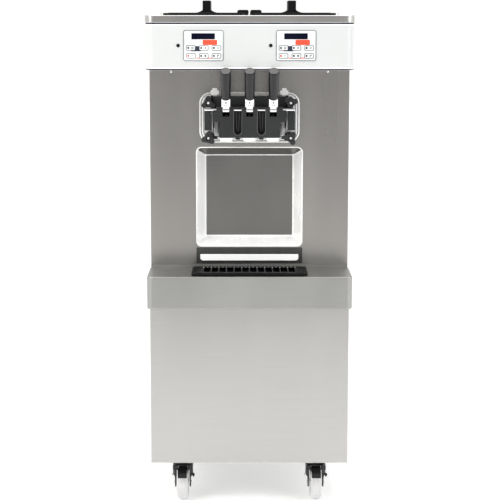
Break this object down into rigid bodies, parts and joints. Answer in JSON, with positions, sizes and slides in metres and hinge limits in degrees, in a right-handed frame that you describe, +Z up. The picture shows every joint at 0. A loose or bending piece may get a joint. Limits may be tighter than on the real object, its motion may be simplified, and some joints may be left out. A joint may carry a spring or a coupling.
{
  "type": "soft serve machine",
  "caption": "Floor-standing twin-flavour soft serve machine: steel cabinet on casters, recessed front, black dispensing door with pull handles, drip tray, lidded hoppers and twin keypads.",
  "frame": {"origin": "on the floor, under the centre of the overall bounding box", "axes": "+Z up, -Y out of the dispensing front, +X to the operator's right"},
  "size_m": [0.612, 0.8698, 1.5417],
  "materials": {
    "brushed_steel": "fine horizontal brushed grain, satin",
    "pan_steel": "satin",
    "zinc_steel": "matte",
    "polished_steel": "polished",
    "header_white": "smooth gloss white",
    "membrane_grey": "printed satin membrane",
    "indicator_black": "gloss",
    "lid_black": "fine moulded texture",
    "door_black": "satin moulded",
    "grip_charcoal": "polished dark",
    "knob_charcoal": "satin moulded",
    "food_white": "smooth satin",
    "tray_black": "satin moulded",
    "black_enamel": "satin enamel",
    "finned_aluminium": "matte",
    "caster_black": "satin",
    "pedal_black": "satin",
    "wheel_grey": "matte light grey"
  },
  "bodies": {
    "cabinet": {"base_pan": "pan_steel", "chassis_frame": "zinc_steel", "lower_front_panel": "brushed_steel", "left_side_panel": "brushed_steel", "right_side_panel": "brushed_steel", "rear_panel": "brushed_steel", "splash_panel": "brushed_steel", "drip_shelf": "brushed_steel", "header_fascia": "header_white", "top_deck": "brushed_steel", "left_keypad": "membrane_grey", "right_keypad": "membrane_grey", "left_mix_lamp": "indicator_black", "right_mix_lamp": "indicator_black", "left_hopper": "pan_steel", "right_hopper": "pan_steel", "left_freezing_cylinder": "pan_steel", "right_freezing_cylinder": "pan_steel", "beater_drive": "zinc_steel", "compressor": "black_enamel", "condenser": "finned_aluminium", "door_plate": "polished_steel", "door_body": "door_black", "door_pivot_pin": "polished_steel", "left_nozzle_cap": "food_white", "centre_nozzle_cap": "food_white", "right_nozzle_cap": "food_white"},
    "left_handle": {"left_lever": "polished_steel", "left_grip": "grip_charcoal"},
    "left_valve": {"left_draw_valve": "food_white"},
    "centre_handle": {"centre_lever": "polished_steel", "centre_grip": "grip_charcoal"},
    "centre_valve": {"centre_draw_valve": "food_white"},
    "right_handle": {"right_lever": "polished_steel", "right_grip": "grip_charcoal"},
    "right_valve": {"right_draw_valve": "food_white"},
    "upper_left_knob": {"upper_left_knob": "knob_charcoal"},
    "upper_right_knob": {"upper_right_knob": "knob_charcoal"},
    "lower_left_knob": {"lower_left_knob": "knob_charcoal"},
    "lower_right_knob": {"lower_right_knob": "knob_charcoal"},
    "left_prime_plug": {"left_prime_plug": "food_white"},
    "right_prime_plug": {"right_prime_plug": "food_white"},
    "left_hopper_lid": {"left_hopper_lid": "lid_black"},
    "right_hopper_lid": {"right_hopper_lid": "lid_black"},
    "drip_tray": {"drip_tray": "tray_black"},
    "drip_grid": {"drip_grid": "tray_black"},
    "leak_drawer": {"leak_drawer": "food_white"},
    "left_beater": {"left_beater": "polished_steel"},
    "right_beater": {"right_beater": "polished_steel"},
    "condenser_fan": {"condenser_fan": "black_enamel"},
    "front_left_caster": {"front_left_caster_fork": "caster_black"},
    "front_left_wheel": {"front_left_caster_wheel": "wheel_grey"},
    "left_brake": {"left_brake_pedal": "pedal_black"},
    "front_right_caster": {"front_right_caster_fork": "caster_black"},
    "front_right_wheel": {"front_right_caster_wheel": "wheel_grey"},
    "right_brake": {"right_brake_pedal": "pedal_black"},
    "rear_left_caster": {"rear_left_caster_fork": "caster_black"},
    "rear_left_wheel": {"rear_left_caster_wheel": "wheel_grey"},
    "rear_right_caster": {"rear_right_caster_fork": "caster_black"},
    "rear_right_wheel": {"rear_right_caster_wheel": "wheel_grey"}
  },
  "joints": [
    {"name": "left_handle_pull", "type": "hinge", "parent": "cabinet", "child": "left_handle", "pos_m": [-0.07, -0.338, 1.22], "axis": [1, 0, 0], "range_deg": [0, 55]},
    {"name": "left_valve_lift", "type": "slide", "parent": "cabinet", "child": "left_valve", "axis": [0, 0, 1], "range_m": [0, 0.028]},
    {"name": "centre_handle_pull", "type": "hinge", "parent": "cabinet", "child": "centre_handle", "pos_m": [0, -0.338, 1.22], "axis": [1, 0, 0], "range_deg": [0, 55]},
    {"name": "centre_valve_lift", "type": "slide", "parent": "cabinet", "child": "centre_valve", "axis": [0, 0, 1], "range_m": [0, 0.028]},
    {"name": "right_handle_pull", "type": "hinge", "parent": "cabinet", "child": "right_handle", "pos_m": [0.07, -0.338, 1.22], "axis": [1, 0, 0], "range_deg": [0, 55]},
    {"name": "right_valve_lift", "type": "slide", "parent": "cabinet", "child": "right_valve", "axis": [0, 0, 1], "range_m": [0, 0.028]},
    {"name": "upper_left_knob_turn", "type": "hinge", "parent": "cabinet", "child": "upper_left_knob", "pos_m": [-0.1225, -0.3285, 1.2394], "axis": [0, -1, 0], "continuous": true},
    {"name": "upper_right_knob_turn", "type": "hinge", "parent": "cabinet", "child": "upper_right_knob", "pos_m": [0.1225, -0.3285, 1.2394], "axis": [0, -1, 0], "continuous": true},
    {"name": "lower_left_knob_turn", "type": "hinge", "parent": "cabinet", "child": "lower_left_knob", "pos_m": [-0.1225, -0.3285, 1.135], "axis": [0, -1, 0], "continuous": true},
    {"name": "lower_right_knob_turn", "type": "hinge", "parent": "cabinet", "child": "lower_right_knob", "pos_m": [0.1225, -0.3285, 1.135], "axis": [0, -1, 0], "continuous": true},
    {"name": "left_prime_plug_lift", "type": "slide", "parent": "cabinet", "child": "left_prime_plug", "axis": [0, 0, 1], "range_m": [0, 0.03]},
    {"name": "right_prime_plug_lift", "type": "slide", "parent": "cabinet", "child": "right_prime_plug", "axis": [0, 0, 1], "range_m": [0, 0.03]},
    {"name": "left_hopper_lid_lift", "type": "slide", "parent": "cabinet", "child": "left_hopper_lid", "axis": [0, 0, 1], "range_m": [0, 0.2]},
    {"name": "right_hopper_lid_lift", "type": "slide", "parent": "cabinet", "child": "right_hopper_lid", "axis": [0, 0, 1], "range_m": [0, 0.2]},
    {"name": "drip_tray_lift", "type": "slide", "parent": "cabinet", "child": "drip_tray", "axis": [0, 0, -1], "range_m": [-0.15, 0]},
    {"name": "drip_grid_lift", "type": "slide", "parent": "drip_tray", "child": "drip_grid", "axis": [0, 0, 1], "range_m": [0, 0.1]},
    {"name": "leak_drawer_pull", "type": "slide", "parent": "cabinet", "child": "leak_drawer", "axis": [0, -1, 0], "range_m": [0, 0.25]},
    {"name": "left_beater_spin", "type": "hinge", "parent": "cabinet", "child": "left_beater", "pos_m": [-0.068, 0, 1.19], "axis": [0, 1, 0], "continuous": true},
    {"name": "right_beater_spin", "type": "hinge", "parent": "cabinet", "child": "right_beater", "pos_m": [0.068, 0, 1.19], "axis": [0, 1, 0], "continuous": true},
    {"name": "condenser_fan_spin", "type": "hinge", "parent": "cabinet", "child": "condenser_fan", "pos_m": [0, 0.27, 0.39], "axis": [0, 1, 0], "continuous": true},
    {"name": "front_left_caster_swivel", "type": "hinge", "parent": "cabinet", "child": "front_left_caster", "pos_m": [-0.207, -0.215, 0.12], "axis": [0, 0, 1], "continuous": true},
    {"name": "front_left_wheel_roll", "type": "hinge", "parent": "front_left_caster", "child": "front_left_wheel", "pos_m": [-0.207, -0.251, 0.05], "axis": [1, 0, 0], "continuous": true},
    {"name": "left_brake_press", "type": "hinge", "parent": "front_left_caster", "child": "left_brake", "pos_m": [-0.207, -0.265, 0.1045], "axis": [1, 0, 0], "range_deg": [0, 20]},
    {"name": "front_right_caster_swivel", "type": "hinge", "parent": "cabinet", "child": "front_right_caster", "pos_m": [0.207, -0.215, 0.12], "axis": [0, 0, 1], "continuous": true},
    {"name": "front_right_wheel_roll", "type": "hinge", "parent": "front_right_caster", "child": "front_right_wheel", "pos_m": [0.207, -0.251, 0.05], "axis": [1, 0, 0], "continuous": true},
    {"name": "right_brake_press", "type": "hinge", "parent": "front_right_caster", "child": "right_brake", "pos_m": [0.207, -0.265, 0.1045], "axis": [1, 0, 0], "range_deg": [0, 20]},
    {"name": "rear_left_caster_swivel", "type": "hinge", "parent": "cabinet", "child": "rear_left_caster", "pos_m": [-0.207, 0.325, 0.12], "axis": [0, 0, 1], "continuous": true},
    {"name": "rear_left_wheel_roll", "type": "hinge", "parent": "rear_left_caster", "child": "rear_left_wheel", "pos_m": [-0.207, 0.289, 0.05], "axis": [1, 0, 0], "continuous": true},
    {"name": "rear_right_caster_swivel", "type": "hinge", "parent": "cabinet", "child": "rear_right_caster", "pos_m": [0.207, 0.325, 0.12], "axis": [0, 0, 1], "continuous": true},
    {"name": "rear_right_wheel_roll", "type": "hinge", "parent": "rear_right_caster", "child": "rear_right_wheel", "pos_m": [0.207, 0.289, 0.05], "axis": [1, 0, 0], "continuous": true}
  ],
  "couplings": [
    {"joint": "left_valve_lift", "follows": "left_handle_pull", "m_per_rad": 0.02886},
    {"joint": "centre_valve_lift", "follows": "centre_handle_pull", "m_per_rad": 0.02886},
    {"joint": "right_valve_lift", "follows": "right_handle_pull", "m_per_rad": 0.02886},
    {"joint": "right_beater_spin", "follows": "left_beater_spin", "ratio": -1}
  ]
}
